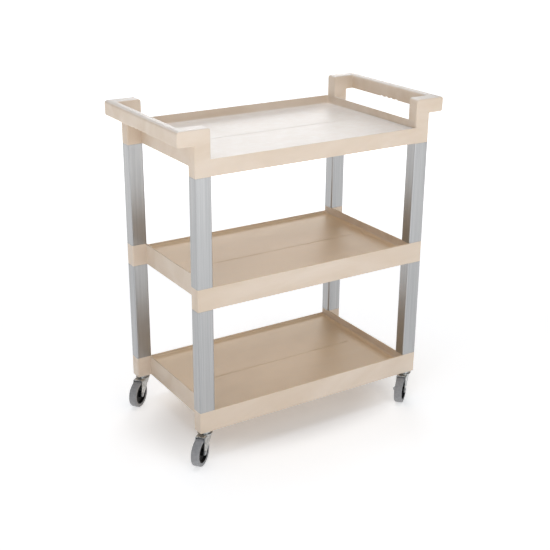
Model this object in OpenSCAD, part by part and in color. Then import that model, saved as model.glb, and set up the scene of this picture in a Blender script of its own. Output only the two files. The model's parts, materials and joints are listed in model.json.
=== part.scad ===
// Three-shelf food service trolley: moulded trays, aluminium uprights, swivel casters.
// +X runs along the trolley, +Y across it, +Z up, and z = 0 is the floor.
// The origin is the middle of the footprint, with the casters as they stand.

/* [Overall] */
// Distance between upright centres along the trolley
post_pitch_x = 675; // [500:5:900]
// Distance between upright centres across the trolley
post_pitch_y = 382; // [300:2:560]
// Height from one tray to the next
shelf_pitch = 348; // [220:2:420]

/* [Uprights] */
// Width of an upright along the trolley
post_x = 45; // [30:1:60]
// Width of an upright across the trolley
post_y = 36; // [26:1:50]
// Radius of an upright's corners
post_r = 4; // [3:0.5:8]
// Wall of the upright's extrusion
post_wall = 1.6; // [1.2:0.1:3]
// Length of the moulded spigot inside an upright
spigot_len = 25; // [12:1:50]

/* [Trays] */
// Height of the moulded corner blocks and of the tray's full walls
block_h = 61; // [50:1:100]
// Height of the tray's floor above the blocks' underside
floor_h = 35; // [20:1:44]
// Height of the lip on the tray's low side, above its floor
low_lip = 9; // [3:1:14]
// Thickness of the tray's walls
wall_t = 4; // [3:0.5:6]
// Thickness of the tray's floor
floor_t = 4; // [3:0.5:6]
// Radius where the tray's inner faces meet
cove_r = 8; // [3:1:12]
// How far the end walls stand out past the uprights' inner faces
end_step = 4; // [1:0.5:8]
// Gap from the blocks' underside up to the skirt's lower edge
skirt_lift = 1; // [0:0.5:6]
// Depth of the stiffening ribs under the floor
rib_h = 8; // [4:1:16]
// Thickness of the stiffening ribs
rib_t = 3; // [2:0.5:5]
// Number of ribs across the tray
ribs_across = 5; // [1:1:9]
// Number of ribs along the tray
ribs_along = 3; // [1:1:5]
// Height of the ridge along the middle of the floor
ridge_h = 2; // [0.6:0.2:3]
// Width of that ridge
ridge_w = 8; // [4:1:12]
// Space between the ridge's ends and the end walls
ridge_end_gap = 45; // [20:5:120]

/* [Handles] */
// Height of the handles' top above the top tray's blocks' underside
handle_top = 121; // [105:1:180]
// Depth of the handle arms and of the grip bar
handle_h = 41; // [25:1:48]
// Reach of the handles past the uprights
handle_reach = 46; // [40:1:90]
// Thickness of the grip bar along the trolley
grip_x = 26; // [18:1:30]
// Radius of the handle's upper edges
handle_top_r = 9; // [4:1:12]
// Radius of the handle's lower edges
handle_low_r = 6; // [3:1:10]
// Radius in the corner under each arm
handle_fillet = 4; // [2:1:10]
// Number of finger recesses under the grip bar
finger_count = 4; // [2:1:6]
// Pitch of the finger recesses
finger_pitch = 22; // [16:1:28]
// Depth of the finger recesses
finger_depth = 2.5; // [1:0.5:5]

/* [Casters] */
// Diameter of a wheel
wheel_d = 77; // [63:1:100]
// Width of a wheel
wheel_w = 22; // [18:1:32]
// Radius of the tread's shoulders
tread_r = 2; // [1:0.5:8]
// Thickness of the tread
tread_t = 10; // [6:1:14]
// Offset of the axle behind the swivel axis
trail = 34; // [22:1:42]
// Angle that the casters stand turned to
yaw = 38; // [0:1:60]
// Thickness of the fork's sheet
fork_t = 2.5; // [2:0.25:4]
// Gap between the wheel and each fork leg
fork_side_gap = 1.5; // [1:0.25:4]
// Gap between the wheel and the fork's crown
wheel_gap = 3; // [1.5:0.25:6]
// Radius of the fork's ends round the axle
fork_end_r = 7; // [6:0.5:12]
// Diameter of the fork's round crown
crown_d = 41; // [36:1:46]
// Diameter of the swivel head between the crown and the block
head_d = 34; // [28:1:36]
// Height of the ball race between the stem's flange and the fork
race_gap = 3; // [2:0.25:4]
// Thickness of the stem's flange
flange_t = 2.5; // [1.5:0.25:4]
// Number of balls in the race
ball_count = 16; // [8:1:16]
// Diameter of the axle bolt
axle_d = 6; // [5:1:10]
// Wall of the steel bush that the hub runs on
bush_wall = 1.5; // [1:0.25:2.5]
// Diameter of the stem
stem_d = 11; // [9:0.5:13]
// Length of the stem inside its socket
stem_len = 38; // [25:1:45]
// Wall of the stem's socket
socket_wall = 2; // [1.5:0.25:3]

/* [Fits] */
// Radial clearance of a turning fit
run_fit = 0.05; // [0.01:0.01:0.1]
// Clearance of pieces that are pushed together
push_fit = 0.05; // [0.02:0.01:0.1]
// Clearance on each side of a spigot in its upright
spigot_fit = 0.2; // [0.05:0.05:0.4]

/* [Hidden] */
$fn = 48;
CORNERS = ["fl", "fr", "bl", "br"];
CASTER_PARTS = ["socket", "stem", "seal", "balls", "fork", "axle", "nut", "bush", "hub", "tyre"];

PLASTIC = "#E2D3C0";
ALUMINIUM = "#BEC0C2";
ZINC = "#B9BABB";
STEEL = "#A9ABAD";
RUBBER = "#87878A";
BLACK = "#1C1D1F";

cut = 1; // cutters run this far past the faces they open

// Wheel, fork and swivel head, stacked up from the floor
wheel_r = wheel_d / 2;
crown_z = wheel_d + wheel_gap;
race_z = crown_z + fork_t;
flange_z = race_z + race_gap;
leg_in = wheel_w / 2 + fork_side_gap;
leg_out = leg_in + fork_t;
hub_r = wheel_r - tread_t;
hub_bore_r = axle_d / 2 + bush_wall + run_fit;
crown_front = crown_d / 2 - 3.5;
crown_back = trail;
kingpin_r = 5;
kingpin_head_r = 7;
kingpin_head_h = 2;
head_lift = 0.2;
seal_wall = 1.6;
seal_lift = 0.4;
ball_r = race_gap / 2 - push_fit;
ball_ring_r = (kingpin_r + head_d / 2 - seal_wall) / 2;
bolt_head_r = 5.5;
bolt_head_h = 1.6;
nut_r = 5.8;
nut_h = 5;
thread_end = 1.5;
stem_tip = 2;
boss_wall = 5;
hub_rim_t = 3.5;
hub_web_t = 9;
hub_inset = 1;

// Trays, stacked up from the casters' flanges
BASE = flange_z + flange_t;
TOP_Z = BASE + 2 * shelf_pitch;
post_gap = shelf_pitch - block_h;
half_y = post_pitch_y / 2 + post_y / 2;
tray_in_x = post_pitch_x / 2 - post_x / 2;
tray_out_x = tray_in_x + end_step;
tray_in_y = half_y - wall_t;
end_inner_x = tray_out_x - wall_t;
socket_r = stem_d / 2 + push_fit + socket_wall;
socket_len = stem_len + 2 * cut;
bar_z = handle_top - handle_h;
finger_r = (pow(finger_pitch / 2, 2) + pow(finger_depth, 2)) / (2 * finger_depth);

// The front wheels stand out further than anything at the back, which sets the chassis back by half of that
wheel_reach = (trail + wheel_r - tread_r) * sin(yaw) + (wheel_w / 2 - tread_r) * cos(yaw) + tread_r;
back_reach = max(post_y, crown_d) / 2;
chassis_y = max(0, wheel_reach - back_reach) / 2;

function corner_x(c) = (c == "fl" || c == "bl" ? -1 : 1) * post_pitch_x / 2;
function corner_y(c) = (c == "fl" || c == "fr" ? -1 : 1) * post_pitch_y / 2;

// A rectangle about the origin with rounded corners
module round_rect(x, y, r) {
    square([x - 2 * r, y], center = true);
    square([x, y - 2 * r], center = true);
    for (sx = [-1, 1])
        for (sy = [-1, 1])
            translate([sx * (x / 2 - r), sy * (y / 2 - r)])
                circle(r);
}

// An upright's outline, grown or shrunk on every side
module post_outline(grow = 0) {
    round_rect(post_x + 2 * grow, post_y + 2 * grow, post_r + grow);
}

// A box about the Z axis with rounded sides and a rounded bottom, open-ended upwards
module coved_pocket(x, y, h, r) {
    translate([0, 0, r])
        linear_extrude(h - r)
            round_rect(x, y, r);
    linear_extrude(2 * r)
        square([x - 2 * r, y - 2 * r], center = true);
    for (s = [-1, 1]) {
        translate([0, s * (y / 2 - r), r])
            rotate([0, 90, 0])
                cylinder(r = r, h = x - 2 * r, center = true);
        translate([s * (x / 2 - r), 0, r])
            rotate([90, 0, 0])
                cylinder(r = r, h = y - 2 * r, center = true);
        for (t = [-1, 1])
            translate([s * (x / 2 - r), t * (y / 2 - r), r])
                sphere(r);
    }
}

module at_blocks() {
    for (c = CORNERS)
        translate([corner_x(c), corner_y(c), 0])
            children();
}

module spigot() {
    linear_extrude(spigot_len)
        post_outline(-post_wall - spigot_fit);
}

// The stiffening grid under a tray's floor
module floor_ribs() {
    top = floor_h - floor_t;
    span_x = 2 * end_inner_x;
    span_y = 2 * tray_in_y;
    for (i = [1 : ribs_across])
        translate([-end_inner_x + span_x * i / (ribs_across + 1), 0, top - rib_h / 2])
            cube([rib_t, span_y, rib_h], center = true);
    for (i = [1 : ribs_along])
        translate([0, -tray_in_y + span_y * i / (ribs_along + 1), top - rib_h / 2])
            cube([span_x, rib_t, rib_h], center = true);
}

// A tray's walls and floor, with its low side at -Y or +Y
module tray_shell(low_side) {
    difference() {
        translate([-tray_out_x, -half_y, skirt_lift])
            cube([2 * tray_out_x, 2 * half_y, block_h - skirt_lift]);
        translate([0, 0, floor_h])
            coved_pocket(2 * end_inner_x, 2 * tray_in_y, block_h, cove_r);
        translate([-end_inner_x, -tray_in_y, -cut])
            cube([2 * end_inner_x, 2 * tray_in_y, floor_h - floor_t + cut]);
        translate([-end_inner_x, low_side > 0 ? tray_in_y - cove_r : -half_y - cut, floor_h + low_lip])
            cube([2 * end_inner_x, wall_t + cove_r + cut, block_h]);
    }
    floor_ribs();
    translate([0, 0, floor_h])
        rotate([90, 0, 90])
            linear_extrude(2 * (end_inner_x - ridge_end_gap), center = true)
                polygon([[-ridge_w / 2, -ridge_h], [-ridge_w / 2, 0], [0, ridge_h],
                         [ridge_w / 2, 0], [ridge_w / 2, -ridge_h]]);
}

// A handle's outline in X and Z, from the upright's inner face at x = 0
module handle_outline() {
    reach = post_x + handle_reach;
    difference() {
        union() {
            translate([0, bar_z])
                square([reach - handle_top_r, handle_h - handle_top_r]);
            translate([handle_top_r, bar_z + handle_low_r])
                square([reach - 2 * handle_top_r, handle_h - handle_low_r]);
            translate([handle_low_r, bar_z + handle_low_r])
                square([reach - handle_low_r, handle_h - handle_low_r - handle_top_r]);
            translate([0, bar_z])
                square([reach - handle_low_r, handle_low_r + cut]);
            for (x = [handle_top_r, reach - handle_top_r])
                translate([x, handle_top - handle_top_r])
                    circle(handle_top_r);
            translate([reach - handle_low_r, bar_z + handle_low_r])
                circle(handle_low_r);
            square([post_x, bar_z + cut]);
            translate([post_x - cut, bar_z - handle_fillet])
                square([handle_fillet + cut, handle_fillet + cut]);
        }
        translate([post_x + handle_fillet, bar_z - handle_fillet])
            circle(handle_fillet);
    }
}

// The grip bar's outline in X and Z, which is the handle's outer end
module bar_outline() {
    outer = post_x + handle_reach;
    inner = outer - grip_x;
    translate([inner + handle_low_r, bar_z])
        square([grip_x - 2 * handle_low_r, handle_h - handle_top_r]);
    translate([inner, bar_z + handle_low_r])
        square([grip_x, handle_h - handle_low_r - handle_top_r]);
    translate([inner + handle_top_r, handle_top - handle_top_r - cut])
        square([grip_x - 2 * handle_top_r, handle_top_r + cut]);
    for (x = [inner + handle_low_r, outer - handle_low_r])
        translate([x, bar_z + handle_low_r])
            circle(handle_low_r);
    for (x = [inner + handle_top_r, outer - handle_top_r])
        translate([x, handle_top - handle_top_r])
            circle(handle_top_r);
}

// Stands an X and Z outline up as a wall of the given width about y = 0
module stand(width) {
    rotate([90, 0, 0])
        linear_extrude(width, center = true)
            children();
}

// The handle at the +X end of the top tray, with its risers and its grip bar
module handle() {
    reach = post_x + handle_reach;
    for (s = [-1, 1])
        translate([tray_in_x, s * post_pitch_y / 2, 0])
            intersection() {
                stand(post_y)
                    handle_outline();
                union() {
                    translate([post_x / 2, 0, 0])
                        linear_extrude(handle_top)
                            post_outline();
                    translate([reach / 2, 0, bar_z - handle_fillet])
                        linear_extrude(handle_h + handle_fillet)
                            round_rect(reach, post_y, post_r);
                }
            }
    difference() {
        translate([tray_in_x, 0, 0])
            stand(post_pitch_y - post_y + 2 * post_r)
                bar_outline();
        for (i = [0 : finger_count - 1])
            translate([tray_in_x + reach + cut, (i - (finger_count - 1) / 2) * finger_pitch,
                       bar_z + finger_depth - finger_r])
                rotate([0, -90, 0])
                    cylinder(r = finger_r, h = reach, $fn = 96);
    }
}

module top_tray() {
    color(PLASTIC)
        translate([0, chassis_y, TOP_Z]) {
            tray_shell(-1);
            handle();
            mirror([1, 0, 0])
                handle();
            at_blocks()
                translate([0, 0, -spigot_len])
                    spigot();
        }
}

module middle_tray() {
    color(PLASTIC)
        translate([0, chassis_y, BASE + shelf_pitch]) {
            tray_shell(1);
            at_blocks() {
                linear_extrude(block_h)
                    post_outline();
                translate([0, 0, -spigot_len])
                    linear_extrude(block_h + 2 * spigot_len)
                        post_outline(-post_wall - spigot_fit);
            }
        }
}

module bottom_tray() {
    color(PLASTIC)
        translate([0, chassis_y, BASE])
            difference() {
                union() {
                    tray_shell(1);
                    at_blocks() {
                        linear_extrude(block_h)
                            post_outline();
                        translate([0, 0, block_h])
                            spigot();
                    }
                }
                at_blocks()
                    translate([0, 0, -cut])
                        cylinder(r = socket_r + push_fit, h = socket_len + cut);
            }
}

module upright(c, z) {
    color(ALUMINIUM)
        translate([corner_x(c), corner_y(c) + chassis_y, z])
            linear_extrude(post_gap)
                difference() {
                    post_outline();
                    post_outline(-post_wall);
                }
}

// Places a caster's pieces: x = 0 and y = 0 is its swivel axis and the wheel trails to -x
module at_caster(c) {
    translate([corner_x(c), corner_y(c) + chassis_y, 0])
        rotate([0, 0, yaw])
            children();
}

// Lays pieces that are turned about z = 0 along the axle
module at_axle() {
    translate([-trail, 0, wheel_r])
        rotate([-90, 0, 0])
            children();
}

module socket() {
    color(BLACK)
        translate([0, 0, BASE])
            difference() {
                cylinder(r = socket_r, h = socket_len);
                translate([0, 0, -cut])
                    cylinder(r = stem_d / 2 + push_fit, h = socket_len + 2 * cut);
            }
}

module stem() {
    color(ZINC) {
        translate([0, 0, BASE])
            cylinder(d = stem_d, h = stem_len - stem_tip);
        translate([0, 0, BASE + stem_len - stem_tip])
            cylinder(d1 = stem_d, d2 = stem_d - 2 * stem_tip, h = stem_tip);
        translate([0, 0, flange_z])
            cylinder(r = head_d / 2 - seal_wall - push_fit, h = flange_t);
        translate([0, 0, crown_z - head_lift - kingpin_head_h])
            cylinder(r = kingpin_r, h = flange_z - crown_z + head_lift + kingpin_head_h + cut);
        translate([0, 0, crown_z - head_lift - kingpin_head_h])
            cylinder(r1 = kingpin_head_r - 1, r2 = kingpin_head_r, h = kingpin_head_h);
    }
}

module seal() {
    color(ZINC)
        translate([0, 0, race_z + seal_lift])
            difference() {
                cylinder(d = head_d, h = BASE - race_z - seal_lift);
                translate([0, 0, -cut])
                    cylinder(r = head_d / 2 - seal_wall, h = BASE - race_z + 2 * cut);
            }
}

module balls() {
    color(STEEL)
        for (i = [0 : ball_count - 1])
            rotate([0, 0, 360 * i / ball_count])
                translate([ball_ring_r, 0, (race_z + flange_z) / 2])
                    sphere(ball_r, $fn = 24);
}

// Where a line from point p touches the circle of radius r about c; side is -1 or 1
function touch(p, c, r, side) =
    let (v = p - c, a = atan2(v[1], v[0]) + side * acos(r / norm(v)))
    c + r * [cos(a), sin(a)];

// The fork's side outline in X and Z: a crown that tapers down to the round axle end
module fork_outline() {
    hub = [-trail, wheel_r];
    front = [crown_front, crown_z - fork_t];
    back = [-crown_back, crown_z - fork_t];
    translate(back)
        square([crown_front + crown_back, race_z - back[1]]);
    polygon([front, back, touch(back, hub, fork_end_r, 1), touch(front, hub, fork_end_r, -1)]);
    translate(hub)
        circle(fork_end_r);
}

// What is cut from the fork's front corners to make it round in front of the swivel axis
module fork_corners() {
    difference() {
        translate([0, -crown_d / 2])
            square(crown_d);
        circle(d = crown_d);
    }
}

// The fork's end outline in Y and Z: two legs under a crown with bent corners
module fork_section() {
    bend = 2 * fork_t;
    difference() {
        union() {
            translate([-leg_out, wheel_r - fork_end_r])
                square([2 * leg_out, race_z - wheel_r + fork_end_r - bend]);
            translate([-leg_out + bend, race_z - bend - cut])
                square([2 * (leg_out - bend), bend + cut]);
            for (s = [-1, 1])
                translate([s * (leg_out - bend), race_z - bend])
                    circle(bend);
        }
        translate([-leg_in, 0])
            square([2 * leg_in, crown_z]);
    }
}

module fork() {
    color(ZINC)
        difference() {
            union() {
                intersection() {
                    stand(2 * leg_out)
                        fork_outline();
                    rotate([90, 0, 90])
                        linear_extrude(4 * trail, center = true)
                            fork_section();
                }
                translate([0, 0, crown_z])
                    cylinder(d = crown_d, h = fork_t);
            }
            linear_extrude(race_z + cut)
                fork_corners();
            translate([0, 0, crown_z - cut])
                cylinder(r = kingpin_r + run_fit, h = fork_t + 2 * cut);
            at_axle()
                cylinder(d = axle_d + 2 * push_fit, h = 4 * leg_out, center = true);
        }
}

module axle() {
    color(STEEL)
        at_axle() {
            translate([0, 0, -leg_out - bolt_head_h])
                cylinder(r = bolt_head_r, h = bolt_head_h);
            translate([0, 0, -leg_out - cut])
                cylinder(d = axle_d, h = 2 * leg_out + nut_h + thread_end + cut);
        }
}

module nut() {
    color(STEEL)
        at_axle()
            translate([0, 0, leg_out])
                difference() {
                    cylinder(r = nut_r, h = nut_h, $fn = 6);
                    translate([0, 0, -cut])
                        cylinder(d = axle_d + 2 * push_fit, h = nut_h + 2 * cut);
                }
}

module bush() {
    color(STEEL)
        at_axle()
            difference() {
                cylinder(d = axle_d + 2 * bush_wall, h = 2 * leg_in, center = true);
                cylinder(d = axle_d + 2 * push_fit, h = 2 * leg_in + 2 * cut, center = true);
            }
}

// Half of the hub's section: bore wall, thin web and rim
module hub_section() {
    boss_r = hub_bore_r + boss_wall;
    boss_w = wheel_w + fork_side_gap;
    translate([hub_bore_r, -boss_w / 2])
        square([boss_wall, boss_w]);
    translate([boss_r - cut, -hub_web_t / 2])
        square([hub_r - boss_r, hub_web_t]);
    translate([hub_r - hub_rim_t, -wheel_w / 2 + hub_inset])
        square([hub_rim_t, wheel_w - 2 * hub_inset]);
}

module hub() {
    color(BLACK)
        at_axle()
            rotate_extrude()
                hub_section();
}

module tyre() {
    inner = hub_r + push_fit;
    color(RUBBER)
        at_axle()
            rotate_extrude() {
                translate([inner, -wheel_w / 2])
                    square([wheel_r - tread_r - inner, wheel_w]);
                translate([inner, -wheel_w / 2 + tread_r])
                    square([wheel_r - inner, wheel_w - 2 * tread_r]);
                for (s = [-1, 1])
                    translate([wheel_r - tread_r, s * (wheel_w / 2 - tread_r)])
                        circle(tread_r);
            }
}

top_tray();
middle_tray();
bottom_tray();

for (c = CORNERS) {
    upright(c, TOP_Z - post_gap);
    upright(c, BASE + block_h);
    at_caster(c) socket();
    at_caster(c) stem();
    at_caster(c) seal();
    at_caster(c) balls();
    at_caster(c) fork();
    at_caster(c) axle();
    at_caster(c) nut();
    at_caster(c) bush();
    at_caster(c) hub();
    at_caster(c) tyre();
}
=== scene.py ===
"""Looks of a three-shelf food service trolley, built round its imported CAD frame.

The trays and handles are one soft-edged moulding each, the uprights are brushed extrusions, and
every caster has a pressed fork, a black hub and a grey tread. All lengths are in metres.
"""

import json
import logging
import math
from dataclasses import dataclass, field
from enum import Enum
from typing import Callable

import bmesh
import bpy
from mathutils import Matrix, Vector


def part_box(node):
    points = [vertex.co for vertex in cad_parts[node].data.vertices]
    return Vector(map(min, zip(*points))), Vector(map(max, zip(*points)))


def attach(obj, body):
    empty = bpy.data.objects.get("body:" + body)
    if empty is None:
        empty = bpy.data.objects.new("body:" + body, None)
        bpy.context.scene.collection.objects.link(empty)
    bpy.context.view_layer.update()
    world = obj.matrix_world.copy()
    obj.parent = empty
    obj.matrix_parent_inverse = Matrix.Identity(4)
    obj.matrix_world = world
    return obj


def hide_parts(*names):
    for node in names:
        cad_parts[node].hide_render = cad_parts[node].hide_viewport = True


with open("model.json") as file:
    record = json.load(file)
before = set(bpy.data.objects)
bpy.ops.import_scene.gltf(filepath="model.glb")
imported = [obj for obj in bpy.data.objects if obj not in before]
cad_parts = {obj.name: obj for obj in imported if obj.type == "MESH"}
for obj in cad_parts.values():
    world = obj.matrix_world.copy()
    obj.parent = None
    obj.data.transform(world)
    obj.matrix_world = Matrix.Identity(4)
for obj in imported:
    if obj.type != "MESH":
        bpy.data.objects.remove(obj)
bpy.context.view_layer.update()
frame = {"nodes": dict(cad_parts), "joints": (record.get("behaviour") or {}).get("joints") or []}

LOG = logging.getLogger("trolley")
MM = 0.001
CLOSE = 0.01 * MM
CORNERS = {"fl": (-1, -1), "fr": (1, -1), "bl": (-1, 1), "br": (1, 1)}
CHASSIS = "chassis"


def linear(colour: str) -> tuple[float, float, float, float]:
    """Turns an sRGB hex colour into the linear one that Blender's sockets take.

    Args:
        colour: The colour as six hex digits, with or without a leading hash.

    Returns:
        Red, green, blue and an alpha of 1, each from 0 to 1.
    """
    digits = colour.lstrip("#")
    parts = [int(digits[i:i + 2], 16) / 255 for i in (0, 2, 4)]
    red, green, blue = (p / 12.92 if p <= 0.04045 else ((p + 0.055) / 1.055) ** 2.4 for p in parts)
    return red, green, blue, 1.0


def add(tree: bpy.types.NodeTree, kind: str, inputs: dict[str | int, object] | None = None,
        **settings: object) -> bpy.types.Node:
    """Adds a node with its settings, and sets or links its inputs.

    Args:
        tree: The node tree that takes the node.
        kind: The node's type name.
        inputs: Input names or numbers, each with a value or with the socket that feeds it.
        **settings: The node's own properties.

    Returns:
        The new node.
    """
    made = tree.nodes.new(kind)
    for name, value in settings.items():
        setattr(made, name, value)
    for key, value in (inputs or {}).items():
        if isinstance(value, bpy.types.NodeSocket):
            tree.links.new(value, made.inputs[key])
        else:
            made.inputs[key].default_value = value
    return made


def new_tree(name: str) -> tuple[bpy.types.Material, bpy.types.NodeTree, bpy.types.NodeSocket]:
    """Starts a material with an empty node tree.

    Args:
        name: The material's name.

    Returns:
        The material, its tree and the Object coordinate socket.
    """
    material = bpy.data.materials.new(name)
    material.use_nodes = True
    material.node_tree.nodes.clear()
    place = add(material.node_tree, "ShaderNodeTexCoord")
    return material, material.node_tree, place.outputs["Object"]


def per_metre(size_mm: float) -> float:
    """Gives the texture scale at which a pattern repeats about once in a given length.

    Args:
        size_mm: The length, in millimetres.

    Returns:
        The scale, for coordinates in metres.
    """
    return 1.0 / (size_mm * MM)


@dataclass(frozen=True)
class MouldedPolypropylene:
    """Structural-foam polypropylene, moulded in a spark-eroded tool.

    The eye gets a satin cream surface with a fine grain and slow cloudy streaks where the melt
    flowed. Upward faces carry painted light: painted shade makes the lower floors tan, and a
    painted sheen from the light above makes the top floor pale.
    """

    name: str = "tray_plastic"
    light: str = "#E4D4C3"
    deep: str = "#DBC8B3"
    # painted shade for the lower floors and painted sheen for the top floor, not the plastic's own colours
    shaded_floor_tint: str = "#E6CBA6"
    lit_floor_sheen: str = "#EEE7DF"
    lit_floor_height: float = 0.78  # in metres: only the top floor lies above it, and it takes the painted sheen
    flow_mm: float = 130.0
    grain_mm: float = 1.4  # the real grain is about 0.3 mm, drawn coarser so that it shows
    scuff_mm: float = 34.0
    roughness: float = 0.44

    def make(self) -> bpy.types.Material:
        """Builds the material."""
        material, tree, place = new_tree(self.name)
        stretched = add(tree, "ShaderNodeMapping", {"Vector": place, "Scale": (0.35, 1.0, 1.0)})
        flow = add(tree, "ShaderNodeTexNoise",
                   {"Vector": stretched.outputs[0], "Scale": per_metre(self.flow_mm), "Detail": 4.0,
                    "Roughness": 0.55, "Distortion": 1.2})
        tone = add(tree, "ShaderNodeMapRange",
                   {"Value": flow.outputs["Fac"], "From Min": 0.35, "From Max": 0.65})
        body = add(tree, "ShaderNodeMix",
                   {"Factor": tone.outputs[0], "A": linear(self.deep), "B": linear(self.light)},
                   data_type="RGBA")
        scratch_place = add(tree, "ShaderNodeMapping",
                            {"Vector": place, "Rotation": (0.0, 0.0, 0.35), "Scale": (0.12, 1.0, 1.0)})
        scratches = add(tree, "ShaderNodeTexNoise",
                        {"Vector": scratch_place.outputs[0], "Scale": per_metre(self.grain_mm * 2),
                         "Detail": 2.0, "Roughness": 0.6})
        scuff = add(tree, "ShaderNodeTexNoise",
                    {"Vector": place, "Scale": per_metre(self.scuff_mm), "Detail": 6.0, "Roughness": 0.62})
        # upward faces take the floor colours below, which are painted light
        facing = add(tree, "ShaderNodeNewGeometry")
        upward = add(tree, "ShaderNodeSeparateXYZ", {"Vector": facing.outputs["Normal"]})
        flat = add(tree, "ShaderNodeMapRange",
                   {"Value": upward.outputs["Z"], "From Min": 0.5, "From Max": 0.8})
        marks = add(tree, "ShaderNodeMath", {0: scratches.outputs["Fac"], 1: scuff.outputs["Fac"]},
                    operation="MULTIPLY")
        scuffs_and_shading = add(tree, "ShaderNodeMapRange",
                   {"Value": marks.outputs[0], "From Min": 0.2, "From Max": 0.4, "To Min": 0.7,
                    "To Max": 0.95})
        # above this height the top floor takes the painted sheen; below it the floors take the painted
        # shade
        height = add(tree, "ShaderNodeSeparateXYZ", {"Vector": place})
        lit_floor = add(tree, "ShaderNodeMath", {0: height.outputs["Z"], 1: self.lit_floor_height},
                   operation="GREATER_THAN")
        floor = add(tree, "ShaderNodeMix",
                    {"Factor": lit_floor.outputs[0], "A": linear(self.shaded_floor_tint), "B": linear(self.lit_floor_sheen)},
                    data_type="RGBA")
        # scuff noise on upward faces sets how much of the painted shade or sheen shows
        floor_light_and_shade = add(tree, "ShaderNodeMath", {0: scuffs_and_shading.outputs[0], 1: flat.outputs[0]},
                     operation="MULTIPLY")
        colour = add(tree, "ShaderNodeMix",
                     {"Factor": floor_light_and_shade.outputs[0], "A": body.outputs[2], "B": floor.outputs[2]},
                     data_type="RGBA")
        gloss = add(tree, "ShaderNodeMapRange",
                    {"Value": marks.outputs[0], "From Min": 0.1, "From Max": 0.45,
                     "To Min": self.roughness + 0.04, "To Max": self.roughness - 0.08})
        grain = add(tree, "ShaderNodeTexNoise",
                    {"Vector": place, "Scale": per_metre(self.grain_mm), "Detail": 3.0, "Roughness": 0.7})
        sink = add(tree, "ShaderNodeTexNoise",
                   {"Vector": place, "Scale": per_metre(self.flow_mm / 2), "Detail": 1.0})
        soft = add(tree, "ShaderNodeBump",
                   {"Height": sink.outputs["Fac"], "Strength": 0.35, "Distance": 0.6 * MM})
        bump = add(tree, "ShaderNodeBump",
                   {"Height": grain.outputs["Fac"], "Strength": 0.22, "Distance": 0.12 * MM,
                    "Normal": soft.outputs[0]})
        shader = add(tree, "ShaderNodeBsdfPrincipled",
                     {"Base Color": colour.outputs[2], "Roughness": gloss.outputs[0],
                      "Normal": bump.outputs[0], "IOR": 1.49, "Subsurface Weight": 0.06,
                      "Subsurface Radius": (0.004, 0.003, 0.002), "Subsurface Scale": 1.0})
        add(tree, "ShaderNodeOutputMaterial", {"Surface": shader.outputs[0]})
        return material


@dataclass(frozen=True)
class BrushedAluminium:
    """Anodised aluminium extrusion, brushed along its length.

    The eye gets a soft grey metal with fine upright lines, broader die streaks and a few
    handling marks.
    """

    name: str = "upright_aluminium"
    light: str = "#BCBCBC"
    deep: str = "#A2A3A4"
    line_mm: float = 0.9
    streak_mm: float = 6.0
    run_mm: float = 260.0
    roughness: float = 0.36

    def make(self) -> bpy.types.Material:
        """Builds the material."""
        material, tree, place = new_tree(self.name)
        along = self.line_mm / self.run_mm
        drawn = add(tree, "ShaderNodeMapping", {"Vector": place, "Scale": (1.0, 1.0, along)})
        lines = add(tree, "ShaderNodeTexNoise",
                    {"Vector": drawn.outputs[0], "Scale": per_metre(self.line_mm), "Detail": 3.0,
                     "Roughness": 0.7})
        wide = add(tree, "ShaderNodeMapping",
                   {"Vector": place, "Scale": (1.0, 1.0, self.streak_mm / (2 * self.run_mm))})
        streaks = add(tree, "ShaderNodeTexNoise",
                      {"Vector": wide.outputs[0], "Scale": per_metre(self.streak_mm), "Detail": 2.0})
        both = add(tree, "ShaderNodeMix",
                   {"Factor": 0.72, "A": streaks.outputs["Fac"], "B": lines.outputs["Fac"]},
                   data_type="FLOAT")
        tone = add(tree, "ShaderNodeMapRange",
                   {"Value": both.outputs[0], "From Min": 0.32, "From Max": 0.68})
        colour = add(tree, "ShaderNodeMix",
                     {"Factor": tone.outputs[0], "A": linear(self.deep), "B": linear(self.light)},
                     data_type="RGBA")
        gloss = add(tree, "ShaderNodeMapRange",
                    {"Value": both.outputs[0], "From Min": 0.3, "From Max": 0.7,
                     "To Min": self.roughness + 0.08, "To Max": self.roughness - 0.05})
        bump = add(tree, "ShaderNodeBump",
                   {"Height": lines.outputs["Fac"], "Strength": 0.35, "Distance": 0.05 * MM})
        shader = add(tree, "ShaderNodeBsdfPrincipled",
                     {"Base Color": colour.outputs[2], "Metallic": 1.0, "Roughness": gloss.outputs[0],
                      "Normal": bump.outputs[0]})
        add(tree, "ShaderNodeOutputMaterial", {"Surface": shader.outputs[0]})
        return material


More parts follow.
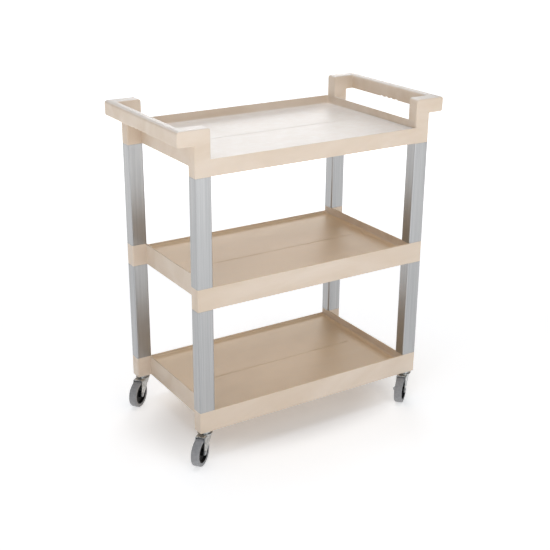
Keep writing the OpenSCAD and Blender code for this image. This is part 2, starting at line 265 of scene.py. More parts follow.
@dataclass(frozen=True)
class PlatedSteel:
    """Bright zinc plate over pressed or turned steel.

    The eye gets a cool, fairly bright metal with a faint cloudy bloom and fine tool marks.
    """

    name: str = "zinc_plate"
    light: str = "#D3D4D3"
    deep: str = "#A9ABAA"
    bloom_mm: float = 9.0
    mark_mm: float = 0.8
    roughness: float = 0.27

    def make(self) -> bpy.types.Material:
        """Builds the material."""
        material, tree, place = new_tree(self.name)
        bloom = add(tree, "ShaderNodeTexNoise",
                    {"Vector": place, "Scale": per_metre(self.bloom_mm), "Detail": 4.0, "Roughness": 0.6})
        tone = add(tree, "ShaderNodeMapRange",
                   {"Value": bloom.outputs["Fac"], "From Min": 0.35, "From Max": 0.65})
        colour = add(tree, "ShaderNodeMix",
                     {"Factor": tone.outputs[0], "A": linear(self.deep), "B": linear(self.light)},
                     data_type="RGBA")
        gloss = add(tree, "ShaderNodeMapRange",
                    {"Value": bloom.outputs["Fac"], "From Min": 0.3, "From Max": 0.7,
                     "To Min": self.roughness + 0.1, "To Max": self.roughness - 0.05})
        marks = add(tree, "ShaderNodeTexNoise",
                    {"Vector": place, "Scale": per_metre(self.mark_mm), "Detail": 2.0})
        bump = add(tree, "ShaderNodeBump",
                   {"Height": marks.outputs["Fac"], "Strength": 0.15, "Distance": 0.04 * MM})
        shader = add(tree, "ShaderNodeBsdfPrincipled",
                     {"Base Color": colour.outputs[2], "Metallic": 1.0, "Roughness": gloss.outputs[0],
                      "Normal": bump.outputs[0]})
        add(tree, "ShaderNodeOutputMaterial", {"Surface": shader.outputs[0]})
        return material


@dataclass(frozen=True)
class MouldedNylon:
    """Black glass-filled nylon, moulded.

    The eye gets a near-black satin surface with a fine pebble and slightly greyer patches of
    dust.
    """

    name: str = "black_plastic"
    body: str = "#050506"
    dusty: str = "#0C0C0D"
    dust_mm: float = 12.0
    pebble_mm: float = 0.7
    roughness: float = 0.36
    specular: float = 0.1

    def make(self) -> bpy.types.Material:
        """Builds the material."""
        material, tree, place = new_tree(self.name)
        dust = add(tree, "ShaderNodeTexNoise",
                   {"Vector": place, "Scale": per_metre(self.dust_mm), "Detail": 5.0, "Roughness": 0.65})
        amount = add(tree, "ShaderNodeMapRange",
                     {"Value": dust.outputs["Fac"], "From Min": 0.45, "From Max": 0.75})
        colour = add(tree, "ShaderNodeMix",
                     {"Factor": amount.outputs[0], "A": linear(self.body), "B": linear(self.dusty)},
                     data_type="RGBA")
        gloss = add(tree, "ShaderNodeMapRange",
                    {"Value": dust.outputs["Fac"], "From Min": 0.3, "From Max": 0.75,
                     "To Min": self.roughness, "To Max": self.roughness + 0.2})
        pebble = add(tree, "ShaderNodeTexNoise",
                     {"Vector": place, "Scale": per_metre(self.pebble_mm), "Detail": 2.0})
        bump = add(tree, "ShaderNodeBump",
                   {"Height": pebble.outputs["Fac"], "Strength": 0.2, "Distance": 0.06 * MM})
        shader = add(tree, "ShaderNodeBsdfPrincipled",
                     {"Base Color": colour.outputs[2], "Roughness": gloss.outputs[0],
                      "Normal": bump.outputs[0], "IOR": 1.53, "Specular IOR Level": self.specular})
        add(tree, "ShaderNodeOutputMaterial", {"Surface": shader.outputs[0]})
        return material


@dataclass(frozen=True)
class GreyRubber:
    """Non-marking thermoplastic rubber, moulded on to the hub.

    The eye gets a matt mid grey, a faint mottle, and a paler bloom where it rolls on the floor.
    """

    name: str = "tread_rubber"
    body: str = "#8B8B8D"
    pale: str = "#A1A1A3"
    mottle_mm: float = 7.0
    grain_mm: float = 0.8
    roughness: float = 0.62

    def make(self) -> bpy.types.Material:
        """Builds the material."""
        material, tree, place = new_tree(self.name)
        mottle = add(tree, "ShaderNodeTexNoise",
                     {"Vector": place, "Scale": per_metre(self.mottle_mm), "Detail": 5.0,
                      "Roughness": 0.65})
        amount = add(tree, "ShaderNodeMapRange",
                     {"Value": mottle.outputs["Fac"], "From Min": 0.35, "From Max": 0.7})
        colour = add(tree, "ShaderNodeMix",
                     {"Factor": amount.outputs[0], "A": linear(self.body), "B": linear(self.pale)},
                     data_type="RGBA")
        gloss = add(tree, "ShaderNodeMapRange",
                    {"Value": mottle.outputs["Fac"], "From Min": 0.3, "From Max": 0.7,
                     "To Min": self.roughness - 0.06, "To Max": self.roughness + 0.1})
        grain = add(tree, "ShaderNodeTexNoise",
                    {"Vector": place, "Scale": per_metre(self.grain_mm), "Detail": 3.0,
                     "Roughness": 0.7})
        bump = add(tree, "ShaderNodeBump",
                   {"Height": grain.outputs["Fac"], "Strength": 0.3, "Distance": 0.1 * MM})
        shader = add(tree, "ShaderNodeBsdfPrincipled",
                     {"Base Color": colour.outputs[2], "Roughness": gloss.outputs[0],
                      "Normal": bump.outputs[0], "IOR": 1.52, "Sheen Weight": 0.1,
                      "Sheen Roughness": 0.5})
        add(tree, "ShaderNodeOutputMaterial", {"Surface": shader.outputs[0]})
        return material


@dataclass(frozen=True)
class StudioBoard:
    """Matt white board that glows from within to stay white, and glows less under the trolley's footprint:
    a painted shadow there.
    """

    name: str = "studio_board"
    white: str = "#FBFBFB"
    painted_shadow_glow: float = 0.16
    near_glow: float = 0.44
    far_glow: float = 1.09
    footprint: tuple[float, float] = (0.39, 0.22)
    shade_start: float = 0.7  # both in footprints from the middle; the painted shadow fades out between them
    shade_end: float = 1.3
    near: float = 1.0
    far: float = 3.5

    def make(self) -> bpy.types.Material:
        """Builds the material."""
        material, tree, place = new_tree(self.name)
        tooth = add(tree, "ShaderNodeTexNoise", {"Vector": place, "Scale": per_metre(3.0)})
        bump = add(tree, "ShaderNodeBump",
                   {"Height": tooth.outputs["Fac"], "Strength": 0.05, "Distance": 0.1 * MM})
        away = add(tree, "ShaderNodeVectorMath", {0: place}, operation="LENGTH")
        along, across = self.footprint
        fitted = add(tree, "ShaderNodeMapping",
                     {"Vector": place, "Scale": (1 / along, 1 / across, 0.0)})
        beside = add(tree, "ShaderNodeVectorMath", {0: fitted.outputs[0]}, operation="LENGTH")
        # the glow drops towards the middle of the footprint: a painted shadow under the trolley
        painted_shadow_fade = add(tree, "ShaderNodeMapRange",
                    {"Value": beside.outputs["Value"], "From Min": self.shade_start,
                     "From Max": self.shade_end, "To Min": self.painted_shadow_glow,
                     "To Max": self.near_glow}, interpolation_type="SMOOTHSTEP")
        glow = add(tree, "ShaderNodeMapRange",
                   {"Value": away.outputs["Value"], "From Min": self.near, "From Max": self.far,
                    "To Min": painted_shadow_fade.outputs[0], "To Max": self.far_glow},
                   interpolation_type="SMOOTHSTEP")
        shader = add(tree, "ShaderNodeBsdfPrincipled",
                     {"Base Color": linear(self.white), "Roughness": 0.85, "Normal": bump.outputs[0],
                      "Specular IOR Level": 0.15, "Emission Color": linear(self.white),
                      "Emission Strength": glow.outputs[0]})
        add(tree, "ShaderNodeOutputMaterial", {"Surface": shader.outputs[0]})
        return material


class Finish(Enum):
    """The finishes of the trolley, each with the record's material slot that it fills."""

    TRAY = "tray_plastic"
    UPRIGHT = "upright_aluminium"
    FORK = "fork_zinc"
    FASTENER = "fastener_steel"
    BALL = "ball_steel"
    BLACK = "black_plastic"
    TREAD = "tread_rubber"


class Paintbox:
    """Makes every finish once and puts it on new pieces and on CAD nodes."""

    def __init__(self) -> None:
        """Builds the materials."""
        self.materials: dict[Finish, bpy.types.Material] = {
            Finish.TRAY: MouldedPolypropylene().make(),
            Finish.UPRIGHT: BrushedAluminium().make(),
            Finish.FORK: PlatedSteel(name="fork_zinc").make(),
            Finish.FASTENER: PlatedSteel(name="fastener_steel", light="#C4C5C6", deep="#96989A",
                                         roughness=0.33).make(),
            Finish.BALL: PlatedSteel(name="ball_steel", light="#E2E3E4", deep="#D2D3D4",
                                     roughness=0.14).make(),
            Finish.BLACK: MouldedNylon().make(),
            Finish.TREAD: GreyRubber().make(),
        }

    def dress_piece(self, piece: bpy.types.Object, finish: Finish, body: str, *nodes: str) -> None:
        """Gives a new piece its finish, its body and the CAD nodes that it stands for.

        Args:
            piece: The new object.
            finish: Which finish it takes.
            body: The CAD body that it moves with.
            *nodes: The CAD nodes that it replaces.
        """
        piece.data.materials.append(self.materials[finish])
        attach(piece, body)
        if nodes:
            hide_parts(*nodes)
        LOG.info("%s rides on %s in %s", piece.name, body, finish.value)

    def dress_node(self, node: str, finish: Finish) -> None:
        """Gives a CAD node its finish.

        Args:
            node: The node's name.
            finish: Which finish it takes.
        """
        shown = frame["nodes"][node]
        if not shown.material_slots:
            shown.data.materials.append(None)
        for slot in shown.material_slots:
            slot.material = self.materials[finish]
        LOG.info("%s keeps its shape in %s", node, finish.value)


class Moulding:
    """A mesh in the making whose edges each carry the radius that they get in the mould."""

    def __init__(self, name: str, largest: float) -> None:
        """Starts an empty mesh.

        Args:
            name: The finished object's name.
            largest: The largest edge radius, in metres.
        """
        self.name = name
        self.largest = largest
        self.mesh = bmesh.new()
        self.weight = self.mesh.edges.layers.float.new("bevel_weight_edge")

    def block(self, low: Vector, high: Vector) -> list[bmesh.types.BMVert]:
        """Adds a box.

        Args:
            low: Its lowest corner.
            high: Its highest corner.

        Returns:
            The box's eight vertices.
        """
        made = bmesh.ops.create_cube(self.mesh, size=1.0)["verts"]
        bmesh.ops.scale(self.mesh, vec=high - low, verts=made)
        bmesh.ops.translate(self.mesh, vec=(low + high) / 2, verts=made)
        return made

    def push(self, face: bmesh.types.BMFace, by: Vector) -> bmesh.types.BMFace:
        """Extrudes one face.

        Args:
            face: The face to move.
            by: How far it moves.

        Returns:
            The face in its new place.
        """
        moved = bmesh.ops.extrude_discrete_faces(self.mesh, faces=[face])["faces"][0]
        bmesh.ops.translate(self.mesh, vec=by, verts=list(moved.verts))
        return moved

    def round_off(self, radius: float, test: Callable[[Vector, Vector], bool],
                  among: list[bmesh.types.BMVert] | None = None) -> None:
        """Sets the radius of every edge whose two ends pass a test.

        Args:
            radius: The radius, in metres.
            test: Takes the edge's ends and says whether the edge is meant.
            among: Only edges between these vertices, or every edge if left out.
        """
        allowed = set(among) if among is not None else None
        for edge in self.mesh.edges:
            first, second = edge.verts
            if allowed is not None and not (first in allowed and second in allowed):
                continue
            if test(first.co, second.co):
                edge[self.weight] = radius / self.largest

    def finish(self, segments: int = 5) -> bpy.types.Object:
        """Turns the mesh into an object with its edges rounded.

        Args:
            segments: How many faces go round each rounded edge.

        Returns:
            The object, at the origin.
        """
        bmesh.ops.recalc_face_normals(self.mesh, faces=self.mesh.faces)
        for edge in self.mesh.edges:
            bent = len(edge.link_faces) == 2 and edge.calc_face_angle(0.0) > math.radians(35)
            edge.smooth = not (bent and edge[self.weight] == 0.0)
        for face in self.mesh.faces:
            face.smooth = True
        data = bpy.data.meshes.new(self.name)
        self.mesh.to_mesh(data)
        self.mesh.free()
        piece = bpy.data.objects.new(self.name, data)
        bpy.context.scene.collection.objects.link(piece)
        rounding = piece.modifiers.new("rounding", "BEVEL")
        rounding.limit_method = "WEIGHT"
        rounding.width = self.largest
        rounding.segments = segments
        rounding.use_clamp_overlap = False
        rounding.harden_normals = True
        return piece


def on(plane: float, *values: float) -> bool:
    """Tells whether every value lies on a plane, to a hundredth of a millimetre.

    Args:
        plane: Where the plane crosses its axis.
        *values: Coordinates along that axis.

    Returns:
        True if all of them lie on it.
    """
    return all(abs(value - plane) < CLOSE for value in values)


class LowSide(Enum):
    """Which long side of a tray is low, so that goods slide over it."""

    FRONT = -1
    BACK = 1


@dataclass
class Plan:
    """The trolley's layout from above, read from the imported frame."""

    centre_y: float
    post_in: float
    post_out: float
    side_in: float
    side_out: float

    @classmethod
    def read(cls) -> "Plan":
        """Takes the layout from the uprights' boxes.

        Returns:
            The layout.
        """
        low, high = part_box("upper_upright_br")
        front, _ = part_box("upper_upright_fr")
        centre = (front.y + high.y) / 2
        return cls(centre, low.x, high.x, low.y - centre, high.y - centre)


@dataclass
class Tray:
    """A moulded tray: three walls and a low lip round a ribbed floor."""

    name: str
    plan: Plan
    base: float
    low_side: LowSide
    wall: float = 4 * MM
    floor: float = 35 * MM
    rim: float = 61 * MM
    lip: float = 9 * MM
    cove: float = 8 * MM
    edge: float = 1.5 * MM
    skirt: float = 1 * MM
    rib_depth: float = 8 * MM
    rib: float = 3 * MM
    ribs_across: int = 5
    ribs_along: int = 3
    ridge_width: float = 8 * MM
    ridge_height: float = 0.9 * MM
    ridge_gap: float = 45 * MM
    ridge_edge: float = 0.75 * MM
    crest: tuple[float, float] = (0.98, 0.2)  # the ridge's top as a share of its foot
    inset: float = 0.3 * MM
    block_edge: float = 4 * MM
    block_rim: float = 0.8 * MM
    under: float = 0.8 * MM
    largest: float = 9 * MM

    def place(self, x: float, y: float, z: float) -> Vector:
        """Turns a place on the tray into one on the trolley.

        Args:
            x: Along the tray, from its middle.
            y: Across the tray, from its middle.
            z: Up from the underside of its corner blocks.

        Returns:
            The place in the part's frame.
        """
        return Vector((x, y + self.plan.centre_y, z + self.base))

    def shell(self, part: Moulding) -> None:
        """Adds the walls, the floor and its coves.

        Args:
            part: The moulding that takes them.
        """
        side = self.low_side.value
        out_x, out_y = self.plan.post_in + self.wall, self.plan.side_out
        in_x, in_y = out_x - self.wall, out_y - self.wall
        lip_z = self.floor + self.lip
        verts = part.block(Vector((-out_x, -out_y, self.skirt)), Vector((out_x, out_y, lip_z)))
        faces = {face for vert in verts for face in vert.link_faces}
        top = max(faces, key=lambda f: f.calc_center_median().z)
        bottom = min(faces, key=lambda f: f.calc_center_median().z)
        rim = bmesh.ops.inset_region(part.mesh, faces=[top], thickness=self.wall,
                                     use_even_offset=True)["faces"]
        part.push(top, Vector((0, 0, -self.lip)))
        low = min(rim, key=lambda f: -side * f.calc_center_median().y)
        high = [f for f in rim if f is not low]
        raised = bmesh.ops.extrude_face_region(part.mesh, geom=high)
        bmesh.ops.delete(part.mesh, geom=high, context="FACES")
        lifted = [v for v in raised["geom"] if isinstance(v, bmesh.types.BMVert)]
        bmesh.ops.translate(part.mesh, vec=(0, 0, self.rim - lip_z), verts=lifted)
        bmesh.ops.inset_region(part.mesh, faces=[bottom], thickness=self.wall, use_even_offset=True)
        part.push(bottom, Vector((0, 0, self.floor - self.wall - self.skirt)))
        part.round_off(self.edge, lambda a, b: on(self.rim, a.z, b.z))
        part.round_off(self.edge * 0.6, lambda a, b: on(lip_z, a.z, b.z) and (
            on(side * out_y, a.y, b.y) or on(side * in_y, a.y, b.y)))
        part.round_off(self.edge * 0.5, lambda a, b: on(self.skirt, a.z, b.z))
        part.round_off(self.cove, lambda a, b: on(self.floor, a.z, b.z))
        part.round_off(self.cove * 0.95, lambda a, b: on(self.floor, a.z, b.z)
                       and on(side * in_y, a.y, b.y))
        part.round_off(self.cove, lambda a, b: on(in_x, abs(a.x), abs(b.x)) and on(
            -side * in_y, a.y, b.y) and min(a.z, b.z) > self.floor - CLOSE and abs(a.z - b.z) > CLOSE)

    def stiffening(self, part: Moulding) -> None:
        """Adds the grid of ribs under the floor and the ridge along its middle.

        Args:
            part: The moulding that takes them.
        """
        in_x, in_y = self.plan.post_in, self.plan.side_out - self.wall
        roof = self.floor - self.wall
        for i in range(1, self.ribs_across + 1):
            x = -in_x + 2 * in_x * i / (self.ribs_across + 1)
            part.block(Vector((x - self.rib / 2, -in_y - self.inset, roof - self.rib_depth)),
                       Vector((x + self.rib / 2, in_y + self.inset, roof + self.inset)))
        for i in range(1, self.ribs_along + 1):
            y = -in_y + 2 * in_y * i / (self.ribs_along + 1)
            part.block(Vector((-in_x - self.inset, y - self.rib / 2, roof - self.rib_depth + self.inset)),
                       Vector((in_x + self.inset, y + self.rib / 2, roof + self.inset)))
        half = in_x - self.ridge_gap
        ridge = part.block(Vector((-half, -self.ridge_width / 2, self.floor - self.inset)),
                           Vector((half, self.ridge_width / 2, self.floor + self.ridge_height)))
        top = [v for v in ridge if v.co.z > self.floor]
        bmesh.ops.scale(part.mesh, vec=(*self.crest, 1.0), verts=top)
        part.round_off(self.ridge_edge, lambda a, b: on(self.floor + self.ridge_height, a.z, b.z), top)

    def corner(self, part: Moulding, x: int, y: int) -> None:
        """Adds the corner block that the uprights fit on.

        Args:
            part: The moulding that takes it.
            x: Which end, -1 or 1.
            y: Which side, -1 or 1.
        """
        xs = sorted((x * (self.plan.post_in + self.inset), x * self.plan.post_out))
        ys = sorted((y * self.plan.side_in, y * self.plan.side_out))
        verts = part.block(Vector((xs[0], ys[0], 0)), Vector((xs[1], ys[1], self.rim)))
        part.round_off(self.block_rim, lambda a, b: on(self.rim, a.z, b.z), verts)
        part.round_off(self.under, lambda a, b: on(0.0, a.z, b.z), verts)
        part.round_off(self.block_edge, lambda a, b: abs(a.z - b.z) > MM, verts)

    def extras(self, part: Moulding) -> None:
        """Adds what only some trays have; a plain tray has its four corner blocks.

        Args:
            part: The moulding that takes it.
        """
        for x, y in CORNERS.values():
            self.corner(part, x, y)

    def build(self, paints: Paintbox) -> bpy.types.Object:
        """Builds and dresses the tray.

        Args:
            paints: The finishes.

        Returns:
            The tray's object.
        """
        part = Moulding(self.name + "_moulding", self.largest)
        self.shell(part)
        self.stiffening(part)
        self.extras(part)
        bmesh.ops.translate(part.mesh, vec=self.place(0, 0, 0), verts=part.mesh.verts)
        piece = part.finish()
        paints.dress_piece(piece, Finish.TRAY, CHASSIS, self.name)
        return piece


@dataclass
class HandledTray(Tray):
    """The top tray, whose corner blocks rise into a handle at each end."""

    top: float = 121 * MM
    depth: float = 41 * MM
    reach: float = 46 * MM
    grip: float = 26 * MM
    crown: float = 9 * MM
    belly: float = 6 * MM
    fillet: float = 4 * MM
    side_edge: float = 4 * MM
    fingers: int = 4
    finger_pitch: float = 22 * MM
    finger_depth: float = 2.5 * MM
    steps: int = 8

    def half_handle(self, part: Moulding) -> None:
        """Adds the +Y half of the +X handle: a riser, its arm and half of the grip bar.

        Args:
            part: The moulding that takes it.
        """
        near, far = self.plan.post_in + self.inset, self.plan.post_out
        low_y, high_y = self.plan.side_in, self.plan.side_out
        bar_z = self.top - self.depth
        outer = far + self.reach
        inner = outer - self.grip
        verts = part.block(Vector((near, low_y, 0)), Vector((far, high_y, bar_z)))
        faces = {face for vert in verts for face in vert.link_faces}
        cap = max(faces, key=lambda f: f.calc_center_median().z)
        cap = part.push(cap, Vector((0, 0, self.depth)))
        arm = next(f for e in cap.edges for f in e.link_faces if f.normal.x > 0.9)
        arm = part.push(arm, Vector((inner - far, 0, 0)))
        arm = part.push(arm, Vector((outer - inner, 0, 0)))
        part.mesh.normal_update()
        bar = next(f for e in arm.edges for f in e.link_faces if f.normal.y < -0.9)
        grip_end = self.fingers * self.finger_pitch / 2
        bar = part.push(bar, Vector((0, grip_end - low_y, 0)))
        count = self.fingers * self.steps // 2
        for i in range(count):
            bar = part.push(bar, Vector((0, -grip_end / count, 0)))
            phase = 2 * math.pi * (i + 1) / self.steps
            rise = self.finger_depth * (1 - math.cos(phase)) / 2
            for vert in bar.verts:
                if vert.co.z < bar_z + self.depth / 2:
                    vert.co.z = bar_z + rise
        bmesh.ops.delete(part.mesh, geom=[bar], context="FACES_ONLY")

    def handle_radii(self, part: Moulding) -> None:
        """Gives the handle's edges their radii.

        Args:
            part: The moulding that holds the +X handle on its own.
        """
        near, far = self.plan.post_in + self.inset, self.plan.post_out
        low_y, high_y = self.plan.side_in, self.plan.side_out
        bar_z = self.top - self.depth
        outer = far + self.reach
        inner = outer - self.grip
        rules: list[tuple[float, Callable[[Vector, Vector], bool]]] = [
            (self.side_edge, lambda a, b: on(self.top, a.z, b.z) and on(a.y, b.y)
             and on(low_y, abs(a.y)) and max(a.x, b.x) < inner + CLOSE),
            (self.side_edge, lambda a, b: on(self.top, a.z, b.z) and on(high_y, abs(a.y), abs(b.y))),
            (self.crown, lambda a, b: on(self.top, a.z, b.z)
             and (on(near, a.x, b.x) or on(outer, a.x, b.x))),
            (self.crown, lambda a, b: on(self.top, a.z, b.z) and on(inner, a.x, b.x)
             and max(abs(a.y), abs(b.y)) < low_y + CLOSE),
            (self.belly, lambda a, b: on(outer, a.x, b.x) and max(a.z, b.z) < bar_z + self.crown),
            (self.belly, lambda a, b: on(inner, a.x, b.x) and max(a.z, b.z) < bar_z + self.crown
             and max(abs(a.y), abs(b.y)) < low_y + CLOSE),
            (self.fillet, lambda a, b: on(bar_z, a.z, b.z) and on(a.y, b.y)
             and min(a.x, b.x) > far - CLOSE
             and (on(high_y, abs(a.y)) or max(a.x, b.x) < inner + CLOSE)),
            (self.fillet, lambda a, b: on(far, a.x, b.x) and on(bar_z, a.z, b.z)),
            (self.side_edge, lambda a, b: on(near, a.x, b.x) and on(a.y, b.y)),
            (self.side_edge, lambda a, b: on(far, a.x, b.x) and on(a.y, b.y)
             and max(a.z, b.z) < bar_z + CLOSE),
            (self.side_edge, lambda a, b: on(outer, a.x, b.x) and on(a.y, b.y)
             and on(high_y, abs(a.y))),
            (self.fillet, lambda a, b: on(inner, a.x, b.x) and on(a.y, b.y) and on(low_y, abs(a.y))),
            (self.under, lambda a, b: on(0.0, a.z, b.z)),
        ]
        for radius, test in rules:
            part.round_off(radius, test)

    def extras(self, part: Moulding) -> None:
        """Adds a handle at each end in place of the corner blocks.

        Args:
            part: The moulding that takes them.
        """
        handle = Moulding("handle", self.largest)
        self.half_handle(handle)
        geometry = handle.mesh.verts[:] + handle.mesh.edges[:] + handle.mesh.faces[:]
        bmesh.ops.mirror(handle.mesh, geom=geometry, axis="Y", merge_dist=1e-6)
        bmesh.ops.remove_doubles(handle.mesh, verts=handle.mesh.verts, dist=1e-6)
        self.handle_radii(handle)
        whole = handle.mesh.verts[:] + handle.mesh.edges[:] + handle.mesh.faces[:]
        bmesh.ops.mirror(handle.mesh, geom=whole, axis="X", merge_dist=0.0)
        data = bpy.data.meshes.new("handles")
        handle.mesh.to_mesh(data)
        handle.mesh.free()
        part.mesh.from_mesh(data)
        bpy.data.meshes.remove(data)
        part.weight = part.mesh.edges.layers.float["bevel_weight_edge"]


@dataclass
class Upright:
    """The aluminium extrusions between the trays, which keep their CAD shape."""

    storeys: tuple[str, ...] = ("upper", "lower")

    def dress(self, paints: Paintbox) -> None:
        """Dresses all eight extrusions.

        Args:
            paints: The finishes.
        """
        for corner in CORNERS:
            for storey in self.storeys:
                paints.dress_node(f"{storey}_upright_{corner}", Finish.UPRIGHT)


@dataclass
class Caster:
    """One swivel caster: black hub, grey tread, pressed fork and its fastenings."""

    corner: str
    yaw: float = math.radians(38)
    trail: float = 34 * MM
    wheel: float = 38.5 * MM
    tread: float = 10 * MM
    half_width: float = 11 * MM
    shoulder: float = 2 * MM
    bore: float = 4.55 * MM
    boss: float = 9.5 * MM
    steps: int = 72

    def spun(self, name: str, profile: list[tuple[float, float]],
             rounded: dict[int, float]) -> bpy.types.Object:
        """Turns a closed profile about the axle.

        Args:
            name: The piece's name.
            profile: Corners as pairs of radius and distance along the axle.
            rounded: Corner numbers, each with the radius that it is rounded to.

        Returns:
            The object, in its place on the trolley.
        """
        mesh = bmesh.new()
        verts = [mesh.verts.new((radius, along, 0)) for radius, along in profile]
        for i, vert in enumerate(verts):
            mesh.edges.new((vert, verts[(i + 1) % len(verts)]))
        for index, radius in rounded.items():
            bmesh.ops.bevel(mesh, geom=[verts[index]], offset=radius, offset_type="OFFSET", segments=6,
                            profile=0.5, affect="VERTICES", material=-1)
        bmesh.ops.spin(mesh, geom=mesh.verts[:] + mesh.edges[:], cent=(0, 0, 0), axis=(0, 1, 0),
                       dvec=(0, 0, 0), angle=2 * math.pi, steps=self.steps, use_merge=True)
        bmesh.ops.remove_doubles(mesh, verts=mesh.verts, dist=1e-6)
        bmesh.ops.recalc_face_normals(mesh, faces=mesh.faces)
        turn = next(j for j in frame["joints"] if j["name"] == f"swivel_{self.corner}_turn")
        swivel = Vector(turn["pos_m"])
        place = (Matrix.Translation((swivel.x, swivel.y, 0)) @ Matrix.Rotation(self.yaw, 4, "Z")
                 @ Matrix.Translation((-self.trail, 0, self.wheel)))
        bmesh.ops.transform(mesh, matrix=place, verts=mesh.verts)
        for edge in mesh.edges:
            edge.smooth = edge.calc_face_angle(0.0) < math.radians(32)
        for face in mesh.faces:
            face.smooth = True
        data = bpy.data.meshes.new(name)
        mesh.to_mesh(data)
        mesh.free()
        piece = bpy.data.objects.new(name, data)
        bpy.context.scene.collection.objects.link(piece)
        return piece

    def tyre(self, paints: Paintbox) -> None:
        """Builds the tread, with a slight crown and a step where it laps the hub.

        Args:
            paints: The finishes.
        """
        inner, w = self.wheel - self.tread, self.half_width
        lap, face = inner + 1.2 * MM, w - 0.3 * MM
        half = [(self.wheel - 0.35 * MM, w - 0.2 * MM), (self.wheel - 4 * MM, w), (lap + 1 * MM, face),
                (lap, face), (lap - 0.4 * MM, w - 0.9 * MM), (inner + 0.1 * MM, w - 0.9 * MM)]
        profile = [(self.wheel, 0.0)] + half + [(r, -y) for r, y in reversed(half)]
        piece = self.spun(f"tread_{self.corner}", profile, {1: self.shoulder, 12: self.shoulder})
        paints.dress_piece(piece, Finish.TREAD, f"wheel_{self.corner}", f"tyre_{self.corner}")

    def hub(self, paints: Paintbox) -> None:
        """Builds the hub, dished on both faces between its rim and its boss.

        Args:
            paints: The finishes.
        """
        rim, w = self.wheel - self.tread, self.half_width
        half = [(rim, w - 1 * MM), (rim - 0.8 * MM, w - 0.4 * MM), (rim - 2.4 * MM, w - 0.4 * MM),
                (rim - 3.6 * MM, w - 2.2 * MM), (rim - 6 * MM, 5.4 * MM), (rim - 11 * MM, 4.5 * MM),
                (self.boss + 1 * MM, 5.2 * MM), (self.boss, 6.5 * MM), (self.boss - 0.6 * MM, w + 0.3 * MM),
                (self.bore, w + 0.3 * MM)]
        profile = half + [(r, -y) for r, y in reversed(half)]
        piece = self.spun(f"wheel_core_{self.corner}", profile, {})
        paints.dress_piece(piece, Finish.BLACK, f"wheel_{self.corner}", f"hub_{self.corner}")

    def soften(self, node: str, width: float) -> None:
        """Rounds the edges of a CAD node that keeps its shape.

        Args:
            node: The node's name.
            width: How wide the rounding is.
        """
        shown = frame["nodes"][node]
        weld = shown.modifiers.new("weld", "WELD")
        weld.merge_threshold = 1e-6
        rounding = shown.modifiers.new("rounding", "BEVEL")
        rounding.limit_method = "ANGLE"
        rounding.angle_limit = math.radians(38)
        rounding.width = width
        rounding.segments = 3
        rounding.harden_normals = True

    def build(self, paints: Paintbox) -> None:
        """Builds and dresses the caster.

        Args:
            paints: The finishes.
        """
        self.tyre(paints)
        self.hub(paints)
        finishes = {"socket": Finish.BLACK, "seal": Finish.FORK, "stem": Finish.FORK,
                    "fork": Finish.FORK, "balls": Finish.BALL, "axle": Finish.FASTENER,
                    "nut": Finish.FASTENER, "bush": Finish.FASTENER}
        for part, finish in finishes.items():
            paints.dress_node(f"{part}_{self.corner}", finish)
        self.soften(f"fork_{self.corner}", 0.5 * MM)


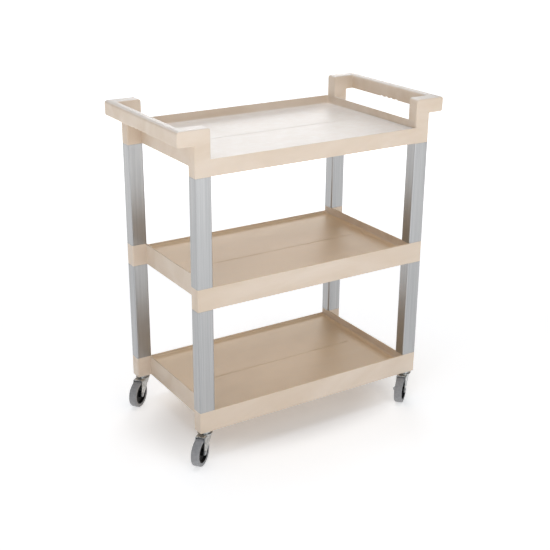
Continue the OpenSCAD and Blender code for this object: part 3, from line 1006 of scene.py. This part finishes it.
@dataclass
class Studio:
    """A white studio: floor, four soft lights and the camera."""

    eye: Vector = field(default_factory=lambda: Vector((-1.4643, -2.2909, 1.4704)))
    azimuth: float = math.radians(-32.417)
    elevation: float = math.radians(21.468)
    roll: float = math.radians(0.4445)
    lens: float = 67.24
    sensor: float = 36.0
    aim: Vector = field(default_factory=lambda: Vector((0, 0, 0.45)))
    surround: float = 0.24

    def floor(self) -> None:
        """Lays the floor."""
        mesh = bmesh.new()
        bmesh.ops.create_grid(mesh, x_segments=1, y_segments=1, size=40.0)
        data = bpy.data.meshes.new("studio_floor")
        mesh.to_mesh(data)
        mesh.free()
        data.materials.append(StudioBoard().make())
        piece = bpy.data.objects.new("studio_floor", data)
        bpy.context.scene.collection.objects.link(piece)

    def lamp(self, name: str, at: tuple[float, float, float], size: float, power: float,
             colour: str = "#FFFFFF") -> None:
        """Hangs a square soft light that faces the trolley.

        Args:
            name: The light's name.
            at: Where it hangs.
            size: The length of its side.
            power: Its power in watts.
            colour: Its colour.
        """
        data = bpy.data.lights.new(name, "AREA")
        data.shape = "SQUARE"
        data.size = size
        data.energy = power
        data.color = linear(colour)[:3]
        light = bpy.data.objects.new(name, data)
        light.location = at
        light.rotation_euler = (self.aim - Vector(at)).to_track_quat("-Z", "Y").to_euler()
        bpy.context.scene.collection.objects.link(light)

    def world(self) -> None:
        """Surrounds the studio with an even white."""
        world = bpy.data.worlds.new("studio")
        world.use_nodes = True
        background = world.node_tree.nodes["Background"]
        background.inputs["Color"].default_value = linear("#FFFFFF")
        background.inputs["Strength"].default_value = self.surround
        bpy.context.scene.world = world
        bpy.context.scene.view_settings.view_transform = "Standard"

    def camera(self) -> None:
        """Sets up the camera."""
        a, e = self.azimuth, self.elevation
        back = Vector((math.sin(a) * math.cos(e), -math.cos(a) * math.cos(e), math.sin(e)))
        level = Vector((math.cos(a), math.sin(a), 0))
        raised = back.cross(level)
        right = math.cos(self.roll) * level + math.sin(self.roll) * raised
        up = back.cross(right)
        data = bpy.data.cameras.new("camera")
        data.lens = self.lens
        data.sensor_width = self.sensor
        data.clip_end = 60.0
        camera = bpy.data.objects.new("camera", data)
        camera.matrix_world = Matrix.Translation(self.eye) @ Matrix(
            (right, up, back)).transposed().to_4x4()
        bpy.context.scene.collection.objects.link(camera)
        bpy.context.scene.camera = camera

    def build(self) -> None:
        """Builds the studio."""
        self.camera()
        self.world()
        self.floor()
        self.lamp("overhead", (-0.2, 0.0, 2.6), 1.8, 20.0, "#F1F6FF")
        self.lamp("front_left", (-2.2, -2.2, 2.2), 1.8, 18.6, "#FBFDFF")
        self.lamp("front_low", (0.3, -3.2, 1.2), 1.8, 17.4, "#FBFDFF")
        self.lamp("back_low", (1.6, 2.6, 2.0), 1.6, 22.8)


def main() -> None:
    """Builds the trolley's looks in order."""
    logging.basicConfig(level=logging.INFO, format="%(message)s")
    Studio().build()
    paints = Paintbox()
    plan = Plan.read()
    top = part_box("upper_upright_fl")[1].z
    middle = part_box("lower_upright_fl")[1].z
    base = 2 * middle - top
    HandledTray("top_tray", plan, top, LowSide.FRONT).build(paints)
    Tray("middle_tray", plan, middle, LowSide.BACK).build(paints)
    Tray("bottom_tray", plan, base, LowSide.BACK, under=1.5 * MM).build(paints)
    Upright().dress(paints)
    for corner in CORNERS:
        Caster(corner).build(paints)


if __name__ == "__main__":
    main()
